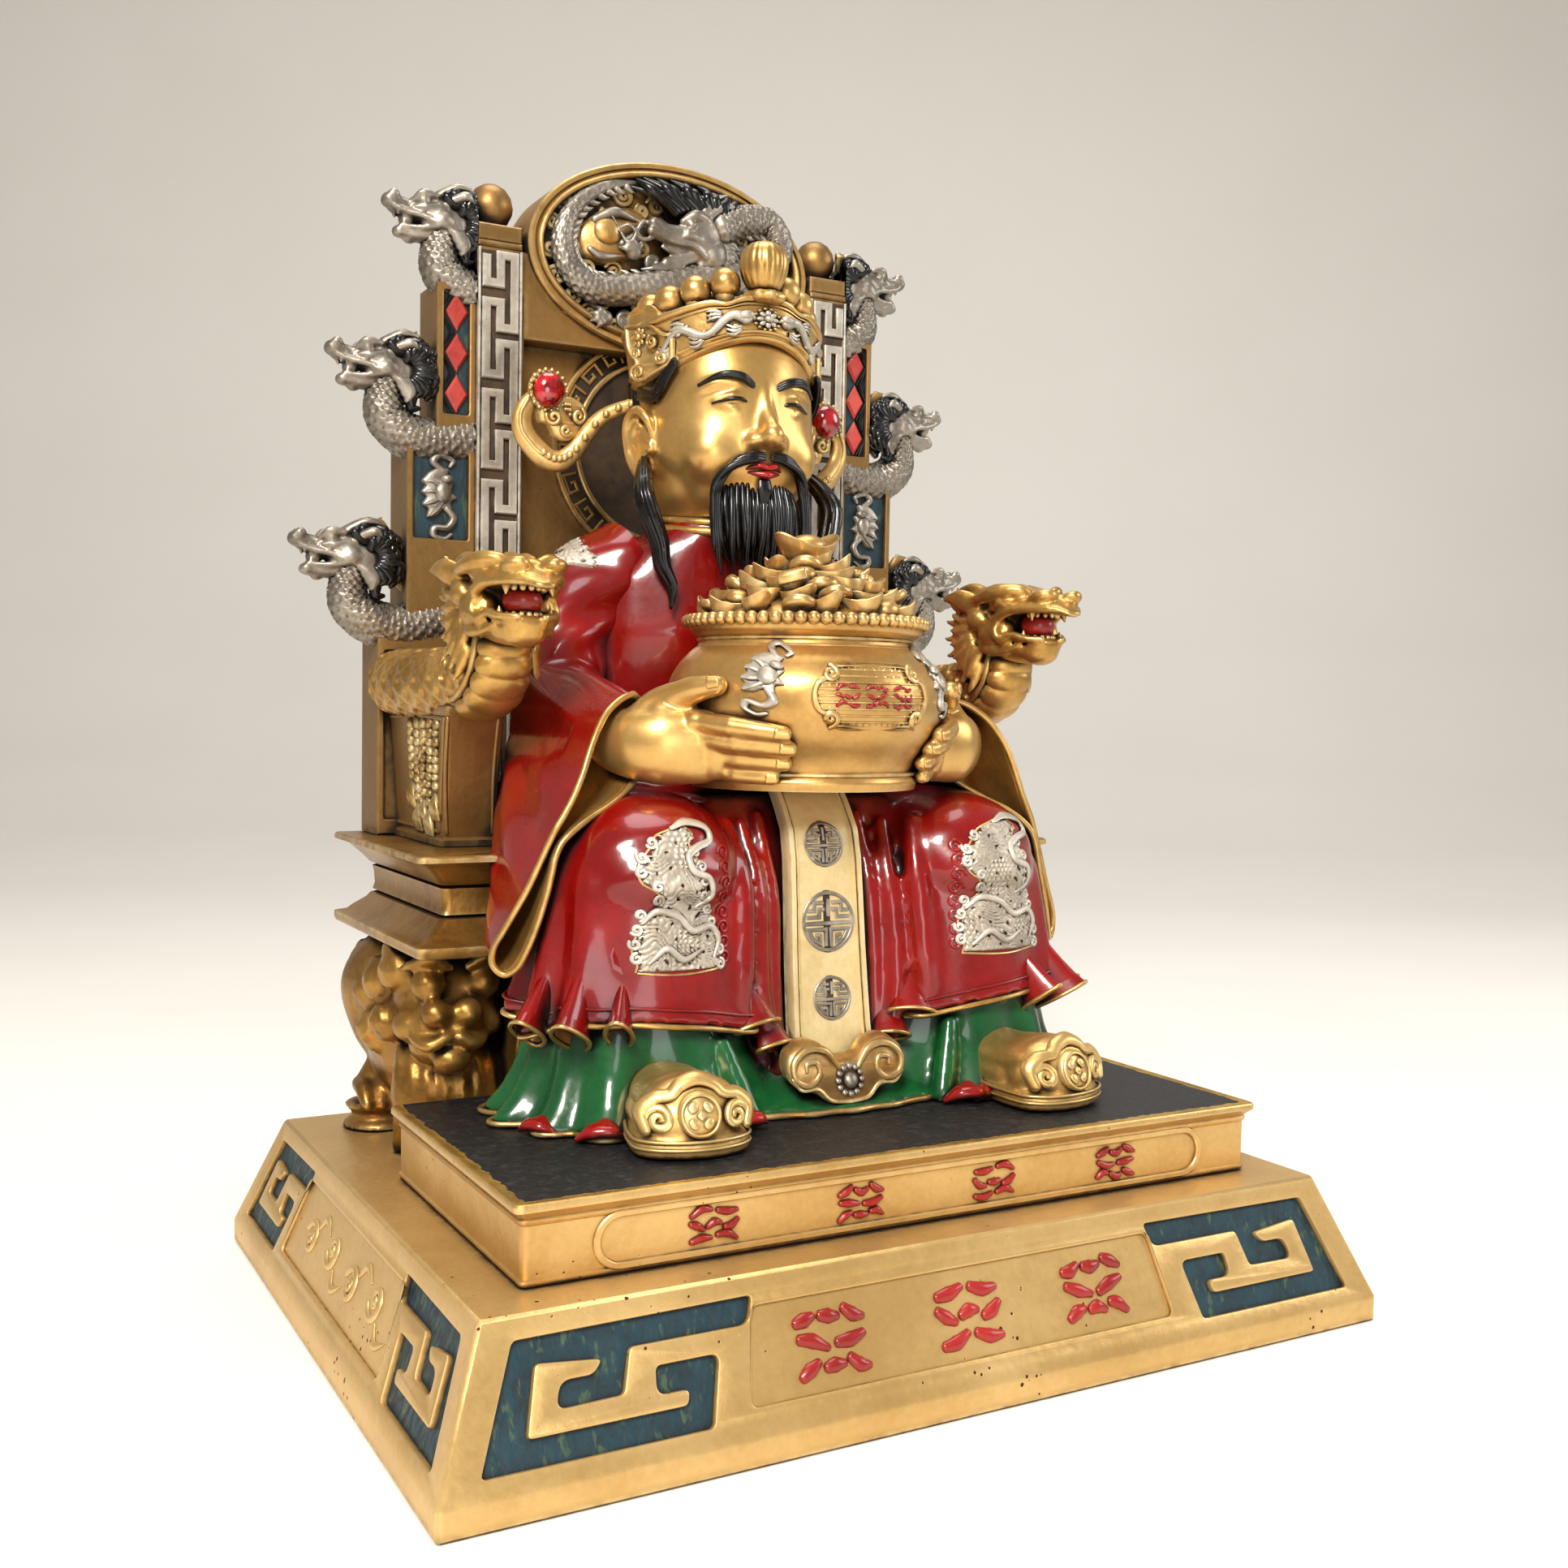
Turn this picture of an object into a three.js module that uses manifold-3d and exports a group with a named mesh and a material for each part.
// A painted and gilded figure of the god of wealth, seated on a dragon throne and holding a treasure
// bowl, on a plinth of two tiers. Millimetres, +X to the viewer's right, the front faces -Y, +Z up.
// The origin is the middle of the plinth's underside.
import * as THREE from "three";
import { mergeVertices } from "three/addons/utils/BufferGeometryUtils.js";
import Module from "manifold-3d";

const wasm = await Module();
wasm.setup();

// Clearance between pieces that rest on each other or are glued together.
const FIT_GAP = 0.3;

// Lower tier of the plinth: a block with a plain lip and four sloping sides.
const PLINTH_WIDTH = 340;
const PLINTH_DEPTH = 265;
const PLINTH_HEIGHT = 49.7;
const PLINTH_LIP = 8;
const PLINTH_SLOPE = 16;
const RECESS_DEPTH = 2;
const KEY_WIDTH = 67;
const KEY_HEIGHT = 33;
const KEY_LEAN = 9;
const KEY_EDGE = 12.5;
const SIDE_KEY_WIDTH = 48;
const PLAQUE_WIDTH = 152;
const PLAQUE_HEIGHT = 27;
const PLAQUE_DEPTH = 1.2;
const SIDE_PLAQUE_WIDTH = 122;

// Upper tier: an upright block under a thin hollow lip, in front of the throne's legs.
const STEP_WIDTH = 273;
const STEP_HEIGHT = 24.5;
const STEP_SETBACK = 32;
const STEP_LIP = 2;
const STEP_OVERHANG = 2.5;
const STEP_UNDER_SEAT = 9.5;
const CARTOUCHE_LENGTH = 228;
const CARTOUCHE_HEIGHT = 16;
const CARTOUCHE_DEPTH = 1.2;

// Throne base: a waisted seat block on two crouching beasts and a plain core.
const SEAT_WIDTH = 266;
const SEAT_DEPTH = 117;
const SEAT_THICKNESS = 35.5;
const SEAT_WAIST = 13;
const SEAT_SETBACK = 4.5;
const LEG_HEIGHT = 75;
const CORE_WIDTH = 186;
const CORE_INSET = 16;

// Throne back: stepped panels beside two posts, an oval medallion, six dragons and two arms.
const BACK_THICKNESS = 24;
const ARM_PANEL = { half: 122, height: 79 };
const BAT_PANEL = { half: 111, height: 73 };
const DIAMOND_PANEL = { half: 99.5, height: 63 };
const PANEL_FRAME = 2.6;
const PANEL_RECESS = 2;
const BAT_FIELD_HEIGHT = 39;
const DIAMOND_FIELD_HEIGHT = 53;
const DIAMOND_COUNT = 3;
const POST_INNER = 66;
const POST_WIDTH = 18;
const POST_HEIGHT = 240;
const POST_PROUD = 1.5;
const CAP_PROUD = 1;
const POST_CAP = 9;
const POST_BALL = 9;
const MEDALLION = { halfWidth: 63.5, halfHeight: 39.5, rim: 5, recess: 3, proud: 3, drop: 4 };
const NICHE_DEPTH = 11;
const HALO = { radius: 48, band: 12, proud: 2, drop: 81 };
const ARM_WIDTH = 21;
const ARM_HEIGHT = 51;
const ARM_LENGTH = 74;
const ARM_SPREAD = 107;
const ARM_TAPER = 1;
const ARM_FOOT = { set: 3, back: 17 };
const NECK_RADIUS = 8.5;
const SMALL_DRAGON_LENGTH = 38;
const ARM_DRAGON_LENGTH = 66;

// Figure: its points are shares of this seated height, in units that are 226 to the height.
const FIGURE_HEIGHT = 226;
const FIGURE_UNITS = 226;

// Treasure bowl, held in both hands above the lap.
const BOWL_RADIUS = 48;
const BOWL_HEIGHT = 60;
const BOWL_LIFT = 24;
const BOWL_FORWARD = 15;

// Levels and planes worked out from the sizes above.
const stepBottom = PLINTH_HEIGHT + FIT_GAP;
const stepTop = stepBottom + STEP_HEIGHT;
const stepFront = -PLINTH_DEPTH / 2 + STEP_SETBACK;
const legBottom = PLINTH_HEIGHT + FIT_GAP;
const seatBottom = legBottom + LEG_HEIGHT;
const seatTop = seatBottom + SEAT_THICKNESS;
const seatBack = PLINTH_DEPTH / 2 - SEAT_SETBACK;
const seatFront = seatBack - SEAT_DEPTH;
const stepBack = seatFront + STEP_UNDER_SEAT;
const throneBottom = seatTop + FIT_GAP;
const backRear = seatBack - 1;
const backFront = backRear - BACK_THICKNESS;
const postOuter = POST_INNER + POST_WIDTH;
const postTop = throneBottom + POST_HEIGHT;
const medallionHeight = postTop - MEDALLION.drop;
const armFront = backFront - ARM_LENGTH;
const armTop = throneBottom + ARM_HEIGHT;
const bowlBottom = seatTop + BOWL_LIFT;
const unit = FIGURE_HEIGHT / FIGURE_UNITS;

const GOLD = { color: 0xb98a3c, roughness: 0.38, metalness: 0.85 };
const OLD_GOLD = { color: 0x8f6a30, roughness: 0.5, metalness: 0.8 };
const RED_LACQUER = { color: 0x8a1410, roughness: 0.2, metalness: 0 };

const BOTH_SIDES = [-1, 1];
const at = (x, y, z) => new THREE.Vector3(x, y, z);
const lerp = THREE.MathUtils.lerp;
const acrossX = at(1, 0, 0);
const acrossY = at(0, 1, 0);
const acrossZ = at(0, 0, 1);

// A point of the figure above the seat, and one above the step that its feet stand on.
const seated = (x, y, z) => at(x * unit, y * unit, throneBottom + z * unit);
const standing = (x, y, z) => at(x * unit, y * unit, stepTop + FIT_GAP + z * unit);

// A closed geometry as a solid whose faces point out, with its shared vertices merged.
function solid(geometry) {
  const bare = new THREE.BufferGeometry();
  bare.setAttribute("position", geometry.getAttribute("position"));
  if (geometry.index) bare.setIndex(geometry.index);
  const merged = mergeVertices(bare, 1e-3);
  const corner = (index) => new THREE.Vector3().fromBufferAttribute(merged.attributes.position, index);
  const faces = [];
  let volume = 0;
  for (let i = 0; i < merged.index.count; i += 3) {
    const [a, b, c] = [0, 1, 2].map((k) => merged.index.getX(i + k));
    if (a === b || b === c || c === a) continue;
    volume += corner(a).dot(corner(b).cross(corner(c)));
    faces.push([a, b, c]);
  }
  const outward = volume < 0 ? faces.map(([a, b, c]) => [a, c, b]) : faces;
  return new wasm.Manifold(
    new wasm.Mesh({
      numProp: 3,
      vertProperties: new Float32Array(merged.attributes.position.array),
      triVerts: new Uint32Array(outward.flat()),
    }),
  );
}

const join = (...solids) => solids.flat(4).reduce((whole, next) => whole.add(next));

function geometryOf(shape) {
  const made = shape.getMesh();
  const geometry = new THREE.BufferGeometry();
  geometry.setAttribute("position", new THREE.BufferAttribute(new Float32Array(made.vertProperties), 3));
  geometry.setIndex(new THREE.BufferAttribute(new Uint32Array(made.triVerts), 1));
  return geometry;
}

// The solid as a named mesh with its own material.
function piece(name, shape, finish) {
  const geometry = geometryOf(shape).toNonIndexed();
  geometry.computeVertexNormals();
  const mesh = new THREE.Mesh(geometry, new THREE.MeshStandardMaterial(finish));
  mesh.name = name;
  return mesh;
}

// A box between two opposite corners, given as x, y, z low and x, y, z high.
function block(x0, y0, z0, x1, y1, z1) {
  const geometry = new THREE.BoxGeometry(x1 - x0, y1 - y0, z1 - z0);
  geometry.translate((x0 + x1) / 2, (y0 + y1) / 2, (z0 + z1) / 2);
  return solid(geometry);
}

// An outline of [x, z] points made solid between two depths, the first of them nearer the front.
function slab(outline, front, back) {
  const shape = new THREE.Shape(outline.map(([x, z]) => new THREE.Vector2(x, z)));
  const geometry = new THREE.ExtrudeGeometry(shape, { depth: back - front, bevelEnabled: false });
  geometry.rotateX(Math.PI / 2);
  geometry.translate(0, back, 0);
  return solid(geometry);
}

const rectangle = (x0, z0, x1, z1) => [
  [Math.min(x0, x1), z0],
  [Math.max(x0, x1), z0],
  [Math.max(x0, x1), z1],
  [Math.min(x0, x1), z1],
];
const diamond = (x, z, halfX, halfZ) => [[x - halfX, z], [x, z - halfZ], [x + halfX, z], [x, z + halfZ]];

function oval(x, z, radiusX, radiusZ, count) {
  return Array.from({ length: count }, (_, i) => {
    const turn = (i / count) * 2 * Math.PI;
    return [x + radiusX * Math.cos(turn), z + radiusZ * Math.sin(turn)];
  });
}

// An egg shape; detail 0 has 20 faces, 1 has 80 and 2 has 180.
function egg(centre, [rx, ry, rz], detail = 1) {
  const geometry = new THREE.IcosahedronGeometry(1, detail);
  geometry.scale(rx, ry, rz);
  geometry.translate(centre.x, centre.y, centre.z);
  return solid(geometry);
}

function bead(centre, radius) {
  const geometry = new THREE.OctahedronGeometry(radius, 0);
  geometry.translate(centre.x, centre.y, centre.z);
  return solid(geometry);
}

// A closed body through rings that all have the same number of points.
function loft(rings) {
  const count = rings[0].length;
  const middle = (ring) => ring.reduce((sum, p) => sum.add(p), at(0, 0, 0)).divideScalar(count);
  const last = (rings.length - 1) * count;
  const foot = rings.length * count;
  const faces = [];
  for (let i = 0; i < count; i++) {
    const next = (i + 1) % count;
    for (let low = 0; low < last; low += count) {
      const high = low + count;
      faces.push(low + i, low + next, high + next, low + i, high + next, high + i);
    }
    faces.push(foot, next, i, foot + 1, last + i, last + next);
  }
  const points = [...rings.flat(), middle(rings[0]), middle(rings[rings.length - 1])];
  const geometry = new THREE.BufferGeometry();
  const flat = points.flatMap((p) => p.toArray());
  geometry.setAttribute("position", new THREE.Float32BufferAttribute(flat, 3));
  geometry.setIndex(faces);
  return solid(geometry);
}

// An oval ring; at each angle `fold` gives a share to add to its radius, and `lift` how far it rises.
function ring(centre, radiusX, radiusY, count, fold = () => 0, lift = () => 0) {
  return Array.from({ length: count }, (_, i) => {
    const turn = (i / count) * 2 * Math.PI;
    const reach = 1 + fold(turn);
    const [x, y] = [radiusX * reach * Math.cos(turn), radiusY * reach * Math.sin(turn)];
    return at(centre.x + x, centre.y + y, centre.z + lift(turn));
  });
}

// A level rectangular ring between two corners.
const frameRing = (x0, y0, x1, y1, z) => [at(x0, y0, z), at(x1, y0, z), at(x1, y1, z), at(x0, y1, z)];

// A body along a smooth curve. Each stop is [point, half width, half height]. The width lies along
// `across`, and the height at right angles to it and to the curve.
function limb(stops, sides = 6, across = acrossX, steps = (stops.length - 1) * 2) {
  const curve = new THREE.CatmullRomCurve3(stops.map(([point]) => point), false, "centripetal");
  const rings = [];
  for (let s = 0; s <= steps; s++) {
    const along = curve.getTangent(s / steps);
    const here = curve.getPoint(s / steps);
    const wide = across.clone().addScaledVector(along, -across.dot(along)).normalize();
    const tall = new THREE.Vector3().crossVectors(along, wide);
    const place = (s / steps) * (stops.length - 1);
    const from = Math.min(Math.floor(place), stops.length - 2);
    const half = [1, 2].map((k) => lerp(stops[from][k], stops[from + 1][k], place - from));
    rings.push(
      Array.from({ length: sides }, (_, i) => {
        const turn = (i / sides) * 2 * Math.PI;
        const point = here.clone().addScaledVector(wide, half[0] * Math.cos(turn));
        return point.addScaledVector(tall, half[1] * Math.sin(turn));
      }),
    );
  }
  return loft(rings);
}

// A profile of [radius, height] points turned about an upright axis through `foot`.
function turned(profile, foot, segments) {
  const points = profile.map(([radius, height]) => new THREE.Vector2(radius, height));
  const geometry = new THREE.LatheGeometry(points, segments);
  geometry.rotateX(Math.PI / 2);
  geometry.translate(foot.x, foot.y, foot.z);
  return solid(geometry);
}

// The profile of a ball, in four steps.
const ballProfile = (radius) =>
  [-0.5, -0.25, 0, 0.25, 0.5].map((share) => [
    Math.abs(share) === 0.5 ? 0 : radius * Math.cos(share * Math.PI),
    radius * Math.sin(share * Math.PI),
  ]);

// Sinks an outline of [along, up] points into one of the lower tier's sloping sides. `turn` swings it
// from the front to another side, which stands `halfDepth` from the middle.
function sunkInSlope(outline, depth, turn, halfDepth) {
  const shape = new THREE.Shape(outline.map(([x, y]) => new THREE.Vector2(x, y)));
  const geometry = new THREE.ExtrudeGeometry(shape, { depth: depth * 2, bevelEnabled: false });
  const rise = at(0, PLINTH_SLOPE, PLINTH_HEIGHT - PLINTH_LIP).normalize();
  const outward = new THREE.Vector3().crossVectors(acrossX, rise);
  geometry.translate(0, 0, -depth);
  geometry.applyMatrix4(new THREE.Matrix4().makeBasis(acrossX, rise, outward));
  geometry.translate(0, -halfDepth, PLINTH_LIP);
  geometry.rotateZ(turn);
  return solid(geometry);
}

// The outline of a hooked key, in shares of its width and height, from the outer lower corner.
const KEY_OUTLINE = [
  [0, 0],
  [0.05, 0.98],
  [1.12, 1],
  [1.12, 0.77],
  [0.57, 0.77],
  [0.57, 0.41],
  [0.28, 0.4],
  [0.28, 0.61],
  [0.42, 0.61],
  [0.46, 0.72],
  [0.16, 0.78],
  [0.17, 0.22],
  [0.87, 0.22],
  [0.87, 0.35],
  [0.72, 0.35],
  [0.7, 0.58],
  [0.99, 0.58],
  [1, 0],
];

// The key panels and the plaque of one sloping side, as one body to cut away.
function slopeCuts(turn, halfDepth, halfLength, keyWidth, plaqueWidth) {
  const slopeLength = Math.hypot(PLINTH_SLOPE, PLINTH_HEIGHT - PLINTH_LIP);
  const keyLow = (slopeLength - KEY_HEIGHT) / 2;
  const keys = BOTH_SIDES.map((side) => {
    const outline = KEY_OUTLINE.map(([s, t]) => [
      side * (halfLength - KEY_EDGE - s * keyWidth - t * KEY_LEAN),
      keyLow + t * KEY_HEIGHT,
    ]);
    return sunkInSlope(outline, RECESS_DEPTH, turn, halfDepth);
  });
  const plaqueLow = (slopeLength - PLAQUE_HEIGHT) / 2;
  const plaque = rectangle(-plaqueWidth / 2, plaqueLow, plaqueWidth / 2, plaqueLow + PLAQUE_HEIGHT);
  return join(keys, sunkInSlope(plaque, PLAQUE_DEPTH, turn, halfDepth));
}

function plinthLower() {
  const [halfX, halfY] = [PLINTH_WIDTH / 2, PLINTH_DEPTH / 2];
  const plan = (z, inset) => frameRing(-halfX + inset, -halfY + inset, halfX - inset, halfY - inset, z);
  const body = loft([plan(0, 0), plan(PLINTH_LIP, 0), plan(PLINTH_HEIGHT, PLINTH_SLOPE)]);
  const front = slopeCuts(0, halfY, halfX, KEY_WIDTH, PLAQUE_WIDTH);
  const sides = BOTH_SIDES.map((side) =>
    slopeCuts((side * Math.PI) / 2, halfX, halfY, SIDE_KEY_WIDTH, SIDE_PLAQUE_WIDTH),
  );
  return body.subtract(join(front, sides));
}

function plinthUpper() {
  const half = STEP_WIDTH / 2;
  const plan = (z, out) => frameRing(-half - out, stepFront - out, half + out, stepBack + out, z);
  const lip = stepTop - STEP_LIP;
  const body = loft([
    plan(stepBottom, 0),
    plan(lip - 2 * STEP_OVERHANG, 0),
    plan(lip - STEP_OVERHANG, STEP_OVERHANG * 0.3),
    plan(lip, STEP_OVERHANG),
    plan(stepTop, STEP_OVERHANG),
  ]);
  const radius = CARTOUCHE_HEIGHT / 2;
  const middle = (stepBottom + lip - STEP_OVERHANG) / 2;
  const run = CARTOUCHE_LENGTH / 2 - radius;
  const ends = BOTH_SIDES.map((side) => oval(side * run, middle, radius, radius, 16));
  const bar = rectangle(-run, middle - radius, run, middle + radius);
  const cartouche = join([...ends, bar].map((o) => slab(o, stepFront - 1, stepFront + CARTOUCHE_DEPTH)));
  return body.subtract(cartouche);
}

// Shares of the seat block's height, from its underside, with how far each is drawn in.
const SEAT_PROFILE = [
  [0, 0.15],
  [0.04, 0],
  [0.14, 0.32],
  [0.3, 0.8],
  [0.46, 1],
  [0.58, 0.98],
  [0.76, 0.72],
  [0.91, 0.3],
  [0.97, 0],
  [1, 0],
];

function seatBlock() {
  return loft(
    SEAT_PROFILE.map(([height, drawn]) => {
      const inset = drawn * SEAT_WAIST;
      const half = SEAT_WIDTH / 2 - inset;
      const z = seatBottom + height * SEAT_THICKNESS;
      return frameRing(-half, seatFront + inset, half, seatBack - inset, z);
    }),
  );
}

// A crouching lion-dog under a front corner of the seat, with one paw out on a small pedestal.
// Heights are in units that are 75 to the height of the legs.
const BEAST_UNITS = 75;

function beast(side) {
  const lift = LEG_HEIGHT / BEAST_UNITS;
  const corner = SEAT_WIDTH / 2;
  const place = (inset, y, z) => at(side * (corner - inset), seatFront + y, legBottom + z * lift);
  const lump = (inset, y, z, [rx, ry, rz], detail = 0) =>
    egg(place(inset, y, z), [rx, ry, rz * lift], detail);
  const face = [
    lump(23, 38, 56, [22, 20, 20]),
    lump(18, 24, 48, [14, 11, 10]),
    BOTH_SIDES.map((half) => bead(place(17 + half * 5, 15.5, 54), 6)),
    BOTH_SIDES.map((half) => bead(place(21 + half * 9, 25, 64), 10)),
  ];
  const chest = lump(24, 42, 22, [24, 21, 27]);
  const belly = lump(32, 72, 42, [30, 36, 38]);
  const curls = Array.from({ length: 3 }, (_, i) => {
    const turn = lerp(-0.2, 1.9, i / 2);
    const drop = 7 * Math.max(0, turn - 0.6);
    return lump(20 - 17 * Math.cos(turn * 0.7), 44 + 20 * turn, 62 - drop, [9, 12, 11]);
  });
  const haunch = limb(
    [
      [place(13, 74, 70), 13, 16],
      [place(7, 86, 52), 12, 15],
      [place(8, 92, 34), 9, 11],
      [place(9, 84, 13), 10, 8],
    ],
    6,
    acrossX,
    4,
  );
  const toes = BOTH_SIDES.map((toe) => bead(place(9 - toe * 5, 74, 12), 8));
  const pedestal = turned(
    [
      [0, 0],
      [13, 0],
      [9, 5],
      [12, 9],
      [0, 9],
    ],
    place(9, 82, 0),
    7,
  );
  return join(face, chest, belly, curls, haunch, toes, pedestal);
}

function throneBase() {
  const half = CORE_WIDTH / 2;
  const coreBack = seatBack - CORE_INSET;
  const core = block(-half, seatFront + CORE_INSET, legBottom, half, coreBack, seatBottom + 1);
  const whole = join(seatBlock(), core, BOTH_SIDES.map(beast));
  // Curls and paws stop at the plinth below them.
  const floor = block(-PLINTH_WIDTH, -PLINTH_DEPTH, 0, PLINTH_WIDTH, PLINTH_DEPTH, legBottom);
  return whole.subtract(floor);
}

// A dragon's head with a ball in its jaws. It is drawn one unit long with its snout along +X, then
// scaled to `length`, tipped up, turned about the upright axis and set at `centre`.
function dragonHead(centre, length, turn, tip) {
  const spike = (from, end, wide, tall) => limb([[from, wide, tall], [end, 0.015, 0.015]], 3, acrossZ, 1);
  const skull = [
    [at(-0.38, 0, 0), 0.12, 0.14],
    [at(-0.12, 0, 0.02), 0.23, 0.24],
    [at(0.3, 0, 0.1), 0.1, 0.07],
    [at(0.48, 0, 0.12), 0.11, 0.1],
  ];
  const snout = limb(skull, 6, acrossY, 3);
  const jaw = limb([[at(-0.15, 0, -0.12), 0.15, 0.08], [at(0.38, 0, -0.19), 0.09, 0.05]], 4, acrossY, 1);
  const ball = bead(at(0.24, 0, -0.06), 0.13);
  const sided = BOTH_SIDES.map((side) => [
    spike(at(0, side * 0.1, 0.14), at(-0.5, side * 0.16, 0.32), 0.07, 0.07),
    spike(at(-0.14, side * 0.14, -0.08), at(-0.52, side * 0.28, 0), 0.12, 0.14),
  ]);
  const crest = spike(at(-0.15, 0, 0.1), at(-0.52, 0, 0.22), 0.12, 0.1);
  const geometry = geometryOf(join(snout, jaw, ball, sided, crest));
  geometry.scale(length, length, length);
  geometry.rotateY(-tip);
  geometry.rotateZ(turn);
  geometry.translate(centre.x, centre.y, centre.z);
  return solid(geometry);
}

// The height of the ledge that each silver dragon lies on, and where its neck starts from.
const DRAGON_LEDGES = [
  { ledge: ARM_PANEL.height, start: BAT_PANEL.half - 12 },
  { ledge: ARM_PANEL.height + BAT_PANEL.height, start: DIAMOND_PANEL.half - 14 },
  { ledge: ARM_PANEL.height + BAT_PANEL.height + DIAMOND_PANEL.height - 4, start: postOuter - 20 },
];

function sideDragon(side, { ledge, start }) {
  const depth = backFront + BACK_THICKNESS * 0.3;
  const size = SMALL_DRAGON_LENGTH;
  const place = (x, z, aside = 0) => at(side * (start + x), depth + aside, throneBottom + ledge + z);
  const crown = { x: 36, z: 29 };
  const fromCrown = (x, z, aside) => place(crown.x + x * size, crown.z + z * size, aside * size);
  const body = limb(
    [
      [place(0, 5), NECK_RADIUS, NECK_RADIUS],
      [place(16, 3), NECK_RADIUS, NECK_RADIUS],
      [place(30, 8), NECK_RADIUS, NECK_RADIUS],
      [place(31, 20), NECK_RADIUS * 0.8, NECK_RADIUS * 0.8],
      [fromCrown(-0.12, 0.02, 0), size * 0.25, size * 0.27],
      [fromCrown(0.26, 0.06, 0), size * 0.13, size * 0.11],
      [fromCrown(0.46, 0.12, 0), size * 0.12, size * 0.1],
    ],
    6,
    acrossY,
    7,
  );
  const jaw = limb(
    [
      [fromCrown(-0.1, -0.12, 0), size * 0.15, size * 0.1],
      [fromCrown(0.38, -0.19, 0), size * 0.1, size * 0.07],
    ],
    4,
    acrossY,
    1,
  );
  const horns = BOTH_SIDES.map((half) =>
    limb(
      [
        [fromCrown(0.05, 0.16, half * 0.1), size * 0.1, size * 0.1],
        [fromCrown(-0.45, 0.34, half * 0.16), size * 0.03, size * 0.03],
      ],
      3,
      acrossZ,
      1,
    ),
  );
  return join(body, jaw, horns);
}

// A body of the medallion's oval, drawn in by `inset`, between two depths.
function medallionDisc(inset, front, back) {
  const { halfWidth, halfHeight } = MEDALLION;
  return slab(oval(0, medallionHeight, halfWidth - inset, halfHeight - inset, 32), front, back);
}

// The relief dragon of the medallion: one coiling body with its head and mane in the middle.
function medallionDragon() {
  const depth = backFront - MEDALLION.proud + MEDALLION.recess;
  const place = (shareX, shareZ) =>
    at(shareX * MEDALLION.halfWidth, depth, medallionHeight + shareZ * MEDALLION.halfHeight);
  const coil = Array.from({ length: 9 }, (_, i) => {
    const share = i / 8;
    const turn = lerp(0.1, 1.75, share) * Math.PI;
    const reach = lerp(0.42, 0.78, share);
    return [place(reach * Math.cos(turn), reach * Math.sin(turn)), lerp(6, 3, share), lerp(5.5, 2, share)];
  });
  return [limb(coil, 4, acrossY, 9), egg(place(0.06, 0), [12, 6, 8], 0)];
}

// One arm of the throne and the body of the gilt dragon that lies along it, grown by `grow`.
function throneArm(side, grow = 0) {
  const half = ARM_WIDTH / 2 + grow;
  const [foot, top] = [side * (ARM_SPREAD - ARM_FOOT.set), side * ARM_SPREAD];
  const footHalf = half - ARM_TAPER;
  const rear = backFront + 2;
  const post = loft([
    frameRing(foot - footHalf, armFront + ARM_FOOT.back - grow, foot + footHalf, rear, throneBottom - grow),
    frameRing(top - half, armFront - grow, top + half, rear, armTop + grow),
  ]);
  const stop = (dx, dy, dz, radius) => [
    at(side * (ARM_SPREAD + dx), armFront + dy, armTop + dz),
    radius + grow,
    radius + grow,
  ];
  const body = limb(
    [
      stop(9, 80, 8, 12),
      stop(6, 36, 7, 12.5),
      stop(1, 4, 9, 13),
      stop(-1, -11, 16, 13),
      stop(-1, -15, 28, 11),
      stop(-1, -8, 36, 9),
    ],
    8,
    acrossX,
    6,
  );
  return join(post, body);
}

function armDragonHead(side) {
  const centre = at(side * (ARM_SPREAD - 2), armFront - 32, armTop + 35);
  const turn = -Math.PI / 2 - side * 0.08;
  return dragonHead(centre, ARM_DRAGON_LENGTH, turn, 0.03);
}

// Strings of beads and a tassel in relief down the outer side of an arm.
function armTassel(side) {
  const x = side * (ARM_SPREAD + ARM_WIDTH / 2 - ARM_TAPER);
  const foot = lerp(throneBottom, armTop, 0.36);
  const strings = [0.36, 0.56].map((share) => {
    const y = armFront + ARM_LENGTH * share;
    return limb([[at(x, y, armTop - 2), 2, 1.6], [at(x, y, foot), 2, 1.6]], 4, acrossY, 1);
  });
  return [...strings, egg(at(x, armFront + ARM_LENGTH * 0.46, foot - 4), [2.5, 9, 9], 0)];
}

// The sunk fields of a stepped panel, one on each side of the throne, below the panel's top.
function sunkFields(outer, top, height) {
  return BOTH_SIDES.map((side) => {
    const [from, to] = [side * (postOuter + PANEL_FRAME), side * (outer - PANEL_FRAME)];
    const outline = rectangle(from, top - height + PANEL_FRAME, to, top - PANEL_FRAME);
    return slab(outline, backFront - 1, backFront + PANEL_RECESS);
  });
}

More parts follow.
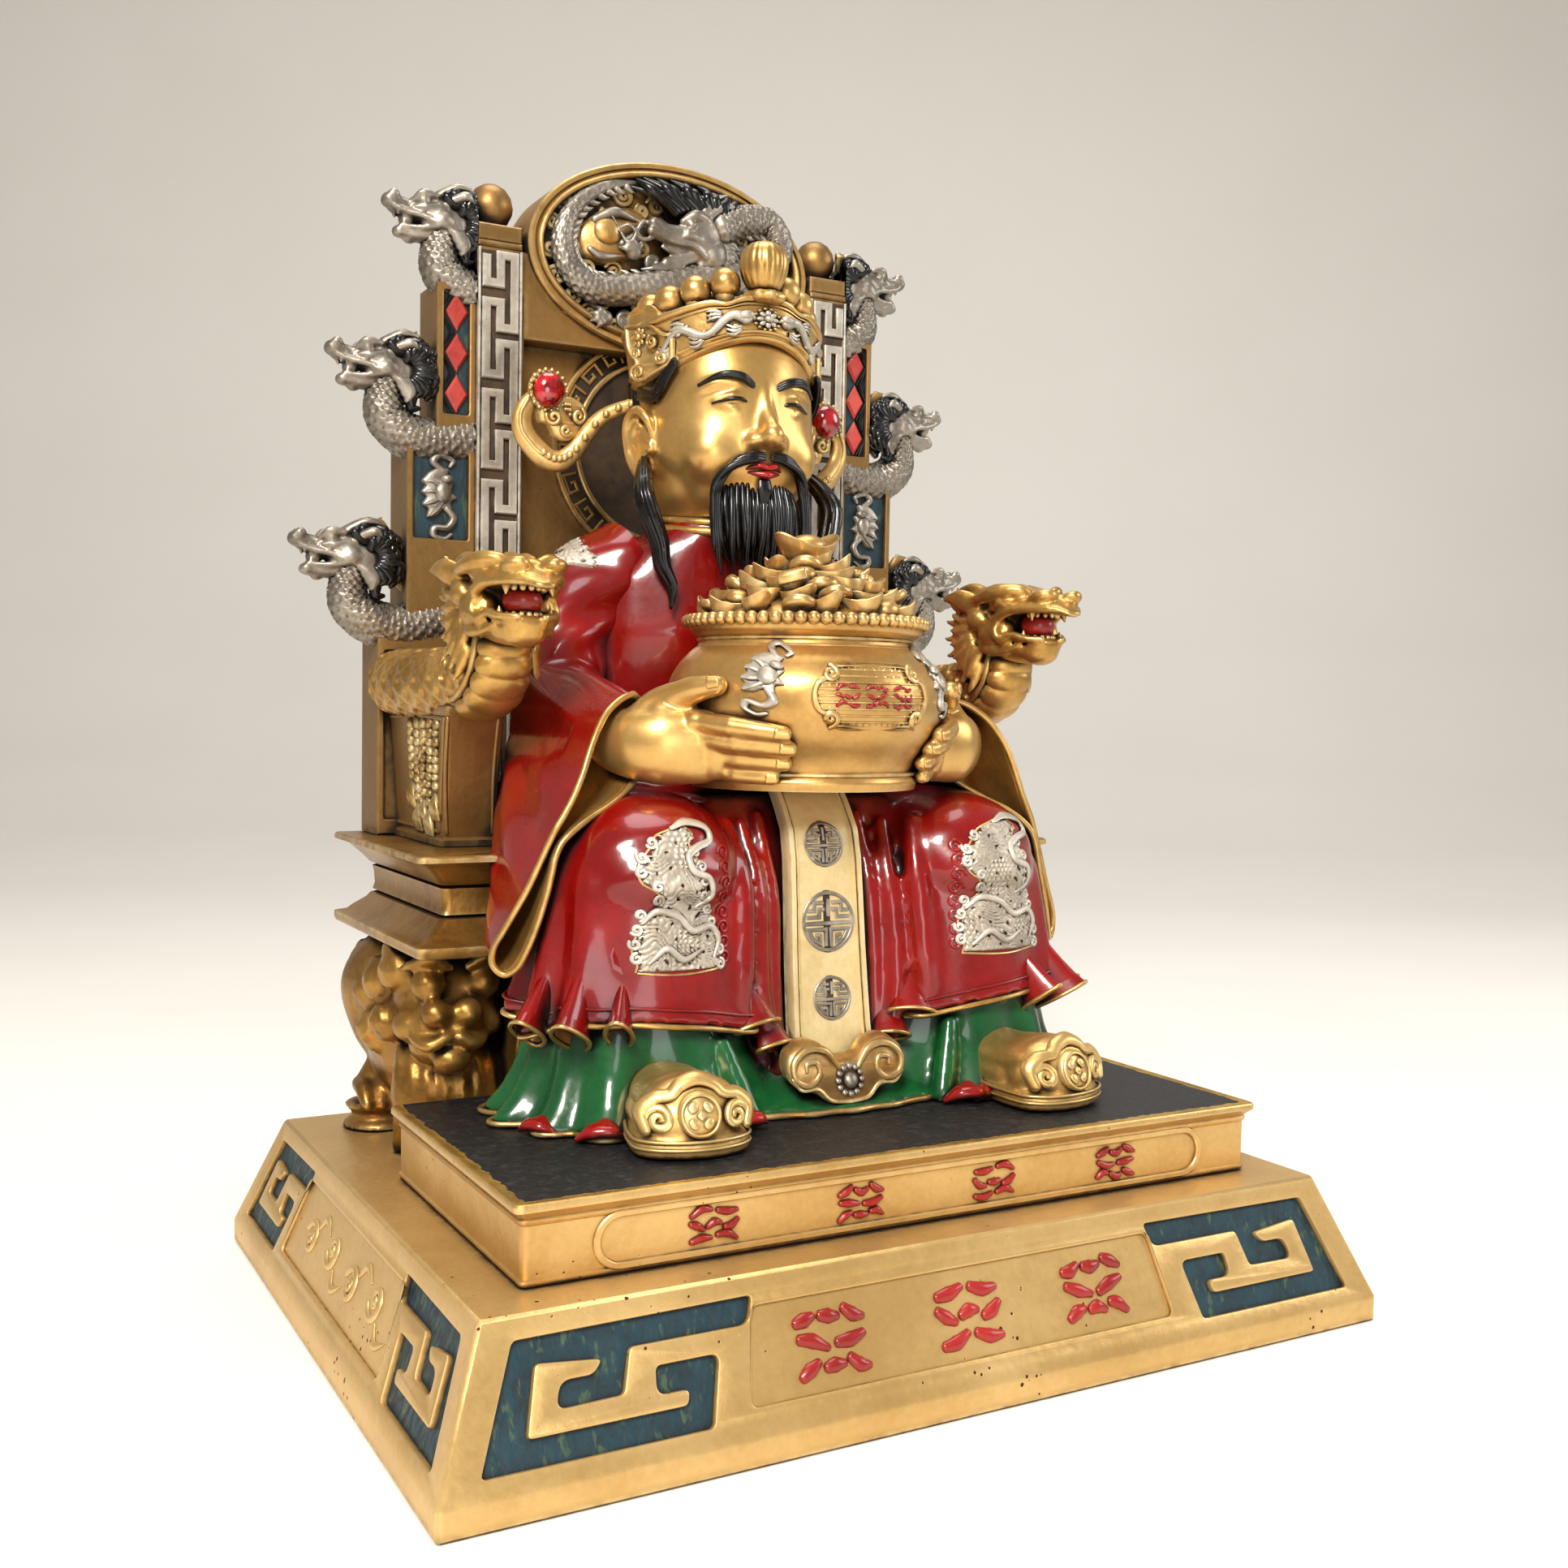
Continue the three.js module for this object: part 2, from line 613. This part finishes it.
function throneBack() {
  const batFoot = throneBottom + ARM_PANEL.height;
  const diamondFoot = batFoot + BAT_PANEL.height;
  const diamondTop = diamondFoot + DIAMOND_PANEL.height;
  const stage = (half, foot, top) => slab(rectangle(-half, foot, half, top), backFront, backRear);
  const stages = [
    stage(ARM_PANEL.half, throneBottom, batFoot),
    stage(BAT_PANEL.half, batFoot, diamondFoot),
    stage(DIAMOND_PANEL.half, diamondFoot, diamondTop),
    stage(POST_INNER + 1, throneBottom, postTop - POST_CAP),
  ];
  const posts = BOTH_SIDES.map((side) => {
    const [inner, outer] = [side * POST_INNER, side * postOuter];
    const proud = backFront - POST_PROUD;
    const shaft = slab(rectangle(inner, throneBottom, outer, postTop), proud, backRear);
    const cap = slab(rectangle(inner, postTop - POST_CAP, outer, postTop), proud - CAP_PROUD, backRear);
    const middle = at((inner + outer) / 2, (backFront + backRear) / 2, postTop + POST_BALL * 0.9);
    return [shaft, cap, turned(ballProfile(POST_BALL), middle, 8)];
  });
  const nicheBack = backFront + NICHE_DEPTH;
  const nicheTop = medallionHeight - MEDALLION.halfHeight;
  const nicheOutline = rectangle(-POST_INNER, throneBottom - 1, POST_INNER, nicheTop);
  const niche = slab(nicheOutline, backFront - NICHE_DEPTH, nicheBack);
  const fields = [
    sunkFields(BAT_PANEL.half, diamondFoot, BAT_FIELD_HEIGHT),
    sunkFields(DIAMOND_PANEL.half, diamondTop, DIAMOND_FIELD_HEIGHT),
  ];
  const diamondStep = (DIAMOND_FIELD_HEIGHT - 2 * PANEL_FRAME) / DIAMOND_COUNT;
  const diamonds = BOTH_SIDES.map((side) =>
    Array.from({ length: DIAMOND_COUNT }, (_, i) => {
      const z = diamondTop - PANEL_FRAME - diamondStep * (i + 0.5);
      const x = (side * (postOuter + DIAMOND_PANEL.half)) / 2;
      const outline = diamond(x, z, diamondStep * 0.33, diamondStep * 0.49);
      return slab(outline, backFront + PANEL_RECESS * 0.4, backFront + PANEL_RECESS + 1);
    }),
  );
  const haloDisc = (radius, front) =>
    slab(oval(0, postTop - HALO.drop, radius, radius, 24), front, nicheBack + 1);
  const halo = haloDisc(HALO.radius, nicheBack - HALO.proud).subtract(
    haloDisc(HALO.radius - HALO.band, nicheBack - HALO.proud - 1),
  );
  const medallionFront = backFront - MEDALLION.proud;
  const medallion = medallionDisc(0, medallionFront, backRear).subtract(
    medallionDisc(MEDALLION.rim, medallionFront - 1, medallionFront + MEDALLION.recess),
  );
  const carved = join(stages).subtract(niche).subtract(join(fields));
  const sides = BOTH_SIDES.map((side) => [
    DRAGON_LEDGES.map((ledge) => sideDragon(side, ledge)),
    throneArm(side),
    armDragonHead(side),
    armTassel(side),
  ]);
  return join(carved, posts, diamonds, halo, medallion, medallionDragon(), sides);
}

// Folds of cloth: waves round a ring, `depth` being a share of its radius.
const folds = (count, depth, start = 0) => (turn) => depth * Math.cos(count * turn + start);

// The robe over one leg, from the hip over the knee to its red hem, and the green under-robe below.
function legRobe(side) {
  const stop = (x, y, z, wide, tall) => [seated(side * x, y, z), wide * unit, tall * unit];
  const thigh = limb(
    [
      stop(46, 40, 2, 26, 20),
      stop(58, 4, 0, 29, 22),
      stop(63, -24, -2, 29, 21),
      stop(64, -40, -12, 18, 13),
    ],
    7,
    acrossX,
    3,
  );
  const high = (z, rx, ry, depth) =>
    ring(seated(side * 64, -13, z), rx * unit, ry * unit, 15, folds(5, depth, side * 0.6));
  const low = (z, rx, ry, depth) =>
    ring(standing(side * 64, -14, z), rx * unit, ry * unit, 15, folds(5, depth, side * 0.9));
  const skirt = loft([
    high(6, 26, 22, 0),
    high(-8, 34, 30, 0.01),
    high(-32, 37, 34, 0.02),
    low(34, 40.5, 35.5, 0.045),
    low(33, 36, 32, 0.03),
    low(18, 37.5, 34.5, 0.045),
    low(6, 43, 39, 0.06),
    low(0, 49, 45, 0.08),
  ]);
  return [thigh, skirt];
}

// The robe between the knees, with its upright folds, and the under-robe at its foot.
function middleRobe() {
  const pleats = [-36, -27, -18, 0, 18, 27, 36];
  const strip = (place, z, front, depth) => [
    ...pleats.map((x, i) => place(x, front + (i % 2 ? 0 : depth), z)),
    place(36, 30, z),
    place(-36, 30, z),
  ];
  const red = loft([
    strip(seated, 20, -12, 0),
    strip(seated, 6, -21, 2),
    strip(seated, -20, -27, 3),
    strip(standing, 40, -31, 4),
    strip(standing, 22, -33, 4),
  ]);
  const green = loft([strip(standing, 30, -29, 3), strip(standing, 8, -37, 4), strip(standing, 0, -49, 4)]);
  return [red, green];
}

// The stole that hangs from the waist, with its cloud-shaped pendant at the foot.
function stole() {
  const strip = (place, z, front, half) => [
    place(-half, front, z),
    place(half, front, z),
    place(half, 0, z),
    place(-half, 0, z),
  ];
  const band = loft([
    strip(seated, 21, -20, 14),
    strip(seated, 4, -29, 14.5),
    strip(standing, 64, -31.5, 15),
    strip(standing, 34, -35.5, 15.5),
    strip(standing, 20, -37, 15.5),
  ]);
  const lobe = (x, z, rx, rz) => egg(standing(x, -39, z), [rx * unit, 7 * unit, rz * unit], 0);
  return [band, lobe(0, 15, 17, 11), BOTH_SIDES.map((side) => lobe(side * 14, 24, 9, 8))];
}

// A cloth shoe with a broad upturned toe cap.
function shoe(side) {
  const stop = (x, y, z, wide, tall) => [standing(side * x, y, z), wide * unit, tall * unit];
  const sole = limb(
    [
      stop(60, -36, 9, 15, 10),
      stop(68, -60, 10, 19, 11),
      stop(72, -76, 9, 18, 10),
      stop(74, -84, 8, 12, 7),
    ],
    7,
    acrossX,
    3,
  );
  return [sole, egg(standing(side * 71, -78, 17), [18 * unit, 9 * unit, 10 * unit], 0)];
}

function torso() {
  const level = (z, rx, ry, y) => ring(seated(0, y, z), rx * unit, ry * unit, 14);
  return loft([
    level(0, 84, 46, 50),
    level(22, 74, 36, 60),
    level(50, 58, 30, 66),
    level(80, 57, 33, 64),
    level(100, 54, 31, 64),
    level(114, 38, 27, 60),
    level(122, 22, 22, 56),
    level(130, 20, 20, 54),
  ]);
}

// An arm in its wide sleeve, with the cuff hanging past the knee in front of the throne. `hang` draws
// the cuff in towards the knee.
function sleeve(side, hang) {
  const stop = (x, y, z, wide, tall) => [seated(side * x, y, z), wide * unit, tall * unit];
  const arm = limb(
    [
      stop(38, 64, 106, 14, 12),
      stop(50, 65, 98, 18, 18),
      stop(60, 60, 74, 17, 22),
      stop(70, 42, 48, 18, 22),
      stop(75, 14, 40, 17, 17),
      stop(73, -6, 37, 14, 13),
    ],
    8,
    acrossX,
    6,
  );
  const fall = (x, y, z, rx, ry) => ring(seated(side * x, y, z), rx * unit, ry * unit, 10);
  const cuff = loft([
    fall(82, 4, 40, 8, 16),
    fall(88 * hang, -2, 18, 11, 20),
    fall(100 * hang, -8, -10, 13, 17),
    fall(104 * hang, -12, -35, 11, 13),
    fall(103 * hang, -16, -56, 6, 8),
  ]);
  return [arm, cuff];
}

// Shares of the bowl's radius and height, from its foot over belly and neck to the rim.
const BOWL_PROFILE = [
  [0.84, 0],
  [0.84, 0.08],
  [0.91, 0.22],
  [0.99, 0.42],
  [0.99, 0.58],
  [0.93, 0.71],
  [0.8, 0.83],
  [0.88, 0.93],
  [0.88, 1],
];
const bowlFoot = at(0, -BOWL_FORWARD, bowlBottom);

function bowlBody(grow = 0) {
  const wall = BOWL_PROFILE.map(([radius, height]) => [
    radius * BOWL_RADIUS + grow,
    height * BOWL_HEIGHT + (height > 0.5 ? grow : -grow),
  ]);
  const [foot, rim] = [wall[0][1], wall[wall.length - 1][1]];
  return turned([[0, foot], ...wall, [0, rim]], bowlFoot, 22);
}

// A point beside the bowl's wall: the angle from its side towards the front, the height as a share
// of the bowl's, and the distance from the wall.
function besideBowl(side, angle, height, off) {
  const upper = BOWL_PROFILE.findIndex(([, level], i) => i > 0 && level >= height);
  const [[r0, h0], [r1, h1]] = [BOWL_PROFILE[upper - 1], BOWL_PROFILE[upper]];
  const reach = lerp(r0, r1, (height - h0) / (h1 - h0)) * BOWL_RADIUS + off;
  return at(
    side * reach * Math.cos(angle),
    bowlFoot.y - reach * Math.sin(angle),
    bowlFoot.z + height * BOWL_HEIGHT,
  );
}

// A hand round the bowl; `reach` is the angle of its fingertips from the bowl's side.
function hand(side, reach) {
  const palm = limb(
    [
      [seated(side * 78, -4, 40), 11 * unit, 9 * unit],
      [seated(side * 70, -18, 38), 10 * unit, 8 * unit],
      [besideBowl(side, reach * 0.45, 0.27, 6 * unit), 14 * unit, 6.5 * unit],
      [besideBowl(side, reach * 0.62, 0.22, 4 * unit), 14 * unit, 5 * unit],
    ],
    6,
    acrossZ,
    3,
  );
  const fingers = [0.98, 1.06, 1.04, 0.94].map((share, i) => {
    const height = 0.37 - i * 0.09;
    const along = (angle, radius) => [
      besideBowl(side, reach * angle, height, radius * 0.8 * unit),
      radius * unit,
      radius * unit,
    ];
    return limb([along(0.45, 4), along(0.8, 3.8), along(share, 2.6)], 4, acrossZ, 2);
  });
  const thumb = limb(
    [
      [besideBowl(side, reach * 0.3, 0.36, 6 * unit), 5 * unit, 5 * unit],
      [besideBowl(side, reach * 0.48, 0.52, 4 * unit), 4.4 * unit, 4.4 * unit],
      [besideBowl(side, reach * 0.66, 0.62, 2 * unit), 2.6 * unit, 2.6 * unit],
    ],
    4,
    acrossX,
    2,
  );
  return [palm, fingers, thumb];
}

// The head without its hat, grown by `grow`; the wings of the hat are fitted against it.
function skull(grow = 0) {
  const level = (z, rx, ry, y) => ring(seated(0, y, z), rx * unit + grow, ry * unit + grow, 10);
  return loft([
    level(118, 19, 18, 56),
    level(127, 19, 24, 50),
    level(140, 29, 30, 48),
    level(158, 33, 35, 50),
    level(180, 33, 35, 53),
    level(198, 28, 28, 56),
  ]);
}

function ears(grow = 0) {
  const lobe = (side, x, y, z, radii) =>
    egg(seated(side * x, y, z), radii.map((radius) => radius * unit + grow), 0);
  return BOTH_SIDES.map((side) => lobe(side, 34, 54, 154, [5.5, 9, 18]));
}

function head() {
  const strand = (points, sides = 4, steps = 2) => {
    const stops = points.map(([x, y, z, wide, tall]) => [seated(x, y, z), wide * unit, tall * unit]);
    return limb(stops, sides, acrossX, steps);
  };
  const nose = strand([[0, 19, 176, 3, 4], [0, 13, 162, 5.5, 4], [0, 18, 157, 5, 2]]);
  const beard = strand(
    [
      [0, 26, 146, 16, 8],
      [0, 20, 130, 17, 8],
      [0, 22, 114, 13, 6],
      [0, 24, 100, 4, 2],
    ],
    6,
    3,
  );
  const sided = BOTH_SIDES.map((side) => [
    strand([[side * 3, 15, 151, 4, 3], [side * 15, 16, 144, 4, 3], [side * 19, 20, 122, 2, 1.5]]),
    strand([[side * 32, 42, 150, 4, 3], [side * 31, 36, 128, 4, 3], [side * 27, 30, 102, 1.5, 1.5]]),
  ]);
  return [skull(), ears(), nose, beard, sided];
}

// The band and crown of the official's hat, grown by `grow`. The band rises to a peak in front.
const hatPeak = (rise) => (turn) => rise * unit * Math.max(0, -Math.sin(turn)) ** 2;

function hatBand(grow = 0) {
  const level = (z, rx, ry, y, rise) =>
    ring(seated(0, y, z), rx * unit + grow, ry * unit + grow, 16, undefined, hatPeak(rise));
  return loft([
    level(173, 33, 34, 54, 11),
    level(178, 36.5, 36, 54, 11),
    level(195, 39, 37, 55, 11),
    level(206, 28, 26, 58, 0),
    level(212, 12, 12, 60, 0),
  ]);
}

const HAT_BALLS = 9;

// The hat's row of balls, its ribbed jewel and a cloud flap on each side.
function hatTrim() {
  const lump = (x, y, z, radii, detail = 0) => egg(seated(x, y, z), radii.map((r) => r * unit), detail);
  const balls = Array.from({ length: HAT_BALLS }, (_, i) => {
    const turn = -Math.PI / 2 + lerp(-1.3, 1.3, i / (HAT_BALLS - 1));
    const centre = seated(34 * Math.cos(turn), 56 + 31 * Math.sin(turn), 199);
    centre.z += hatPeak(9)(turn);
    return bead(centre, 6.2 * unit);
  });
  const flaps = BOTH_SIDES.map((side) => lump(side * 36, 41, 187, [5.5, 13, 14]));
  const jewel = turned(ballProfile(9 * unit), seated(0, 21, 216), 10);
  return [balls, jewel, flaps];
}

// Everything that the figure stays clear of, grown by the fitting gap.
function roomAroundFigure() {
  const gap = FIT_GAP;
  const half = SEAT_WIDTH / 2 + gap;
  const seat = block(-half, seatFront - gap, 0, half, seatBack + gap, throneBottom);
  const floor = block(-PLINTH_WIDTH, -PLINTH_DEPTH, 0, PLINTH_WIDTH, PLINTH_DEPTH, stepTop + gap);
  const back = block(-PLINTH_WIDTH, backFront - gap, 0, PLINTH_WIDTH, PLINTH_DEPTH, postTop);
  return join(seat, floor, back, BOTH_SIDES.map((side) => throneArm(side, gap)), bowlBody(gap));
}

function figure() {
  const whole = join(
    torso(),
    BOTH_SIDES.map((side) => [legRobe(side), shoe(side)]),
    sleeve(-1, 1),
    sleeve(1, 0.89),
    middleRobe(),
    stole(),
    hand(-1, 0.92),
    hand(1, 0.7),
    head(),
    hatBand(),
    hatTrim(),
  );
  return whole.subtract(roomAroundFigure());
}

// A boat-shaped gold ingot with a low crown, drawn one unit long, then turned and set at `centre`.
function ingot(centre, length, turn, tilt) {
  const hull = (z, halfLong, halfWide, lift) =>
    Array.from({ length: 6 }, (_, i) => {
      const angle = (i / 6) * 2 * Math.PI;
      const end = Math.cos(angle) ** 2;
      return at(halfLong * Math.cos(angle), halfWide * Math.sin(angle), z + lift * end);
    });
  const boat = loft([hull(-0.18, 0.26, 0.16, 0), hull(0.02, 0.5, 0.26, 0.16), hull(0.16, 0.12, 0.1, 0)]);
  const geometry = geometryOf(boat);
  geometry.scale(length, length, length);
  geometry.rotateX(tilt);
  geometry.rotateZ(turn);
  geometry.translate(centre.x, centre.y, centre.z);
  return solid(geometry);
}

// The bowl with a heap of ingots over its mouth, all cast as one.
function treasureBowl() {
  const top = bowlFoot.z + BOWL_HEIGHT;
  const mouth = BOWL_RADIUS * 0.82;
  const heapHeight = BOWL_HEIGHT * 0.36;
  const dome = [0, 0.5, 1].map((share) => [
    mouth * Math.cos((share * Math.PI) / 2),
    heapHeight * Math.sin((share * Math.PI) / 2),
  ]);
  const profile = [[0, -heapHeight / 9], [mouth, -heapHeight / 9], ...dome.slice(0, 2), [0, heapHeight]];
  const heap = turned(profile, at(0, bowlFoot.y, top), 8);
  const tiers = [
    { count: 6, reach: 0.8, lift: 0.45 },
    { count: 3, reach: 0.42, lift: 0.95 },
  ];
  const ingots = tiers.flatMap(({ count, reach, lift }, tier) =>
    Array.from({ length: count }, (_, i) => {
      const turn = ((i + tier * 0.5) / count) * 2 * Math.PI;
      const [x, y] = [mouth * reach * Math.cos(turn), bowlFoot.y + mouth * reach * Math.sin(turn)];
      const tilt = 0.3 * Math.sin(5 * i);
      return ingot(at(x, y, top + lift * heapHeight), BOWL_RADIUS * 0.42, turn + 0.9 + 2.1 * i, tilt);
    }),
  );
  const crown = ingot(at(0, bowlFoot.y, top + heapHeight * 1.15), BOWL_RADIUS * 0.6, 0.2, 0);
  return join(bowlBody(), heap, ingots, crown);
}

// A wing of the hat: an arm that swings out from behind the ear and hooks up to a ruby.
function hatWing(side) {
  const stop = (x, y, z, wide, tall) => [seated(side * x, y, z), wide * unit, tall * unit];
  const arm = limb(
    [
      stop(20, 62, 172, 3.5, 3),
      stop(42, 76, 164, 4, 3),
      stop(52, 80, 150, 4, 3.5),
      stop(63, 82, 148, 4.5, 3.5),
      stop(71, 84, 157, 4.5, 3.5),
      stop(69, 83, 168, 4.5, 3.5),
      stop(62, 82, 173, 4.5, 4),
    ],
    5,
    acrossY,
    8,
  );
  const lump = (x, y, z, radii, detail) => egg(seated(side * x, y, z), radii.map((r) => r * unit), detail);
  const ruby = lump(62.4, 79, 173, [7, 5, 7.5], 0);
  const leaf = lump(54, 80, 163, [8, 3, 8], 0);
  return join(arm, ruby, leaf).subtract(join(skull(FIT_GAP), hatBand(FIT_GAP), ears(FIT_GAP)));
}

const model = new THREE.Group();
model.add(
  piece("plinth_lower", plinthLower(), OLD_GOLD),
  piece("plinth_upper", plinthUpper(), GOLD),
  piece("throne_base", throneBase(), OLD_GOLD),
  piece("throne_back", throneBack(), OLD_GOLD),
  piece("figure", figure(), RED_LACQUER),
  piece("treasure_bowl", treasureBowl(), GOLD),
  piece("hat_wing_left", hatWing(-1), GOLD),
  piece("hat_wing_right", hatWing(1), GOLD),
);

export default model;
